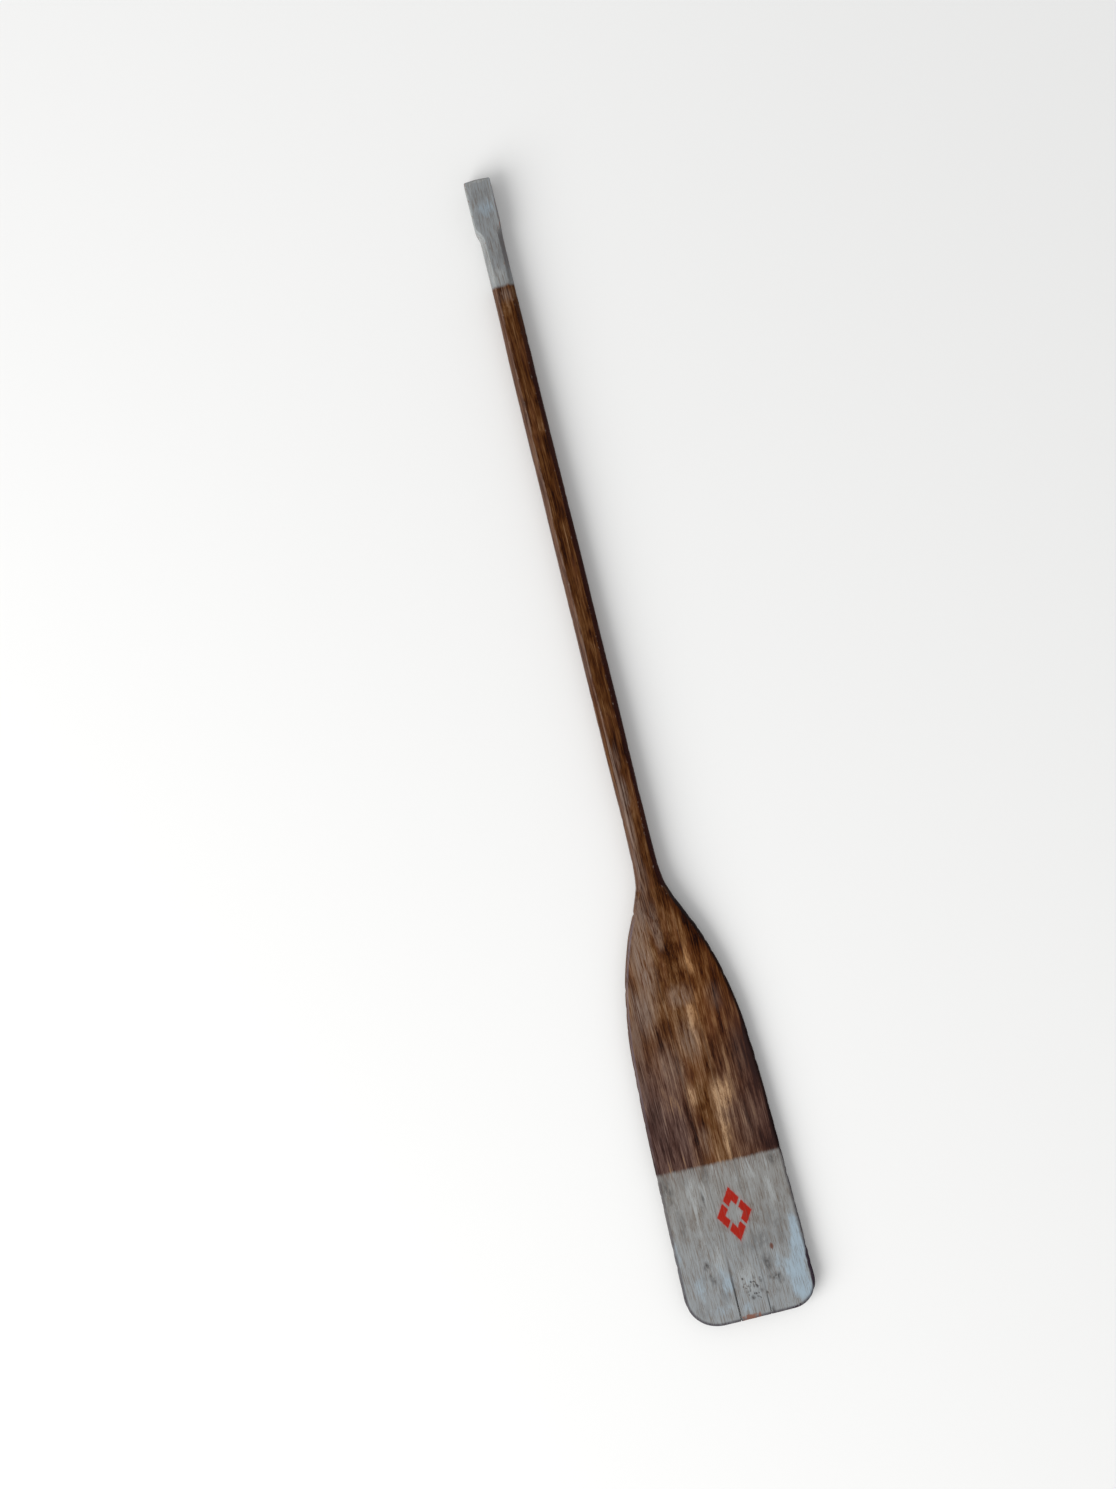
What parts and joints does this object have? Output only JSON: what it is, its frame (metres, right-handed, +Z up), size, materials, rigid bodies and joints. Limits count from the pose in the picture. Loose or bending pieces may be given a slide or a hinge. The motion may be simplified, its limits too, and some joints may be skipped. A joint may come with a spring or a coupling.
{
  "type": "wooden oar",
  "caption": "Small-boat wooden oar with a square-ended grip, a straight octagonal shaft and a broad flat blade with a rounded-corner tip, glued up from boards.",
  "frame": {"origin": "centre of the bounding box's bottom face: on the floor that the oar lies on, under the middle of its length", "axes": "+Y along the oar from the blade's tip to the grip, X across the blade, +Z up, out of the face that shows"},
  "size_m": [0.1723, 1.524, 0.032],
  "materials": {
    "stained_stave": "dark walnut stain, worn satin; grip end and tip brushed with flat blue-grey paint",
    "stained_wing": "dark walnut stain, worn satin; tip brushed with flat blue-grey paint",
    "dowel_wood": "bare hardwood"
  },
  "bodies": {
    "root": {"centre_stave": "stained_stave", "blade_wing_left": "stained_wing", "blade_wing_right": "stained_wing", "cross_dowel_1": "dowel_wood", "cross_dowel_2": "dowel_wood", "cross_dowel_3": "dowel_wood", "cross_dowel_4": "dowel_wood"}
  },
  "joints": []
}
